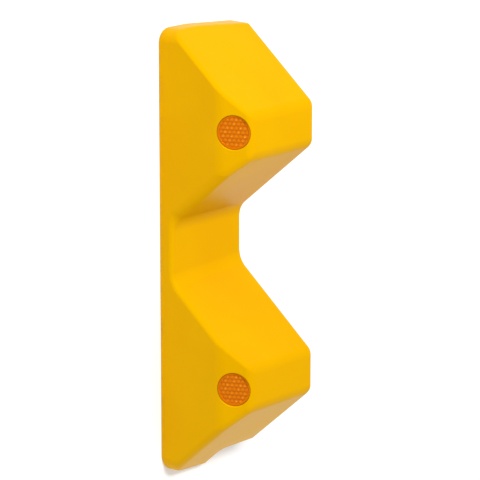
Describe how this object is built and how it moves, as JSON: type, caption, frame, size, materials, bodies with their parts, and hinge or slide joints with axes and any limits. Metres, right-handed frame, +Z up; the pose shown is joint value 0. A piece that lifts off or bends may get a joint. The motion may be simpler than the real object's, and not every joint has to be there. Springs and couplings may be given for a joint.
{
  "type": "parking wheel stop",
  "caption": "Yellow moulded parking wheel stop with wedge humps over a low bridge, amber prismatic reflectors on the leaning front facets, and adhesive floor pads.",
  "frame": {"origin": "on the floor, under the middle of the bar's bounding box", "axes": "+X along the bar, to the right as seen from its front; +Y from the front (reflector) face to the back; +Z up"},
  "size_m": [0.5074, 0.12, 0.118],
  "materials": {
    "yellow_plastic": "satin",
    "amber_lens": "gloss",
    "reflector_backing": "matte",
    "adhesive_foam": "matte",
    "floor_pad": "matte"
  },
  "bodies": {
    "root": {"housing": "yellow_plastic", "reflector_lens_left": "amber_lens", "reflector_lens_right": "amber_lens", "reflector_backing_left": "reflector_backing", "reflector_backing_right": "reflector_backing", "reflector_adhesive_left": "adhesive_foam", "reflector_adhesive_right": "adhesive_foam", "floor_pad_1": "floor_pad", "floor_pad_2": "floor_pad", "floor_pad_3": "floor_pad", "floor_pad_4": "floor_pad"}
  },
  "joints": []
}
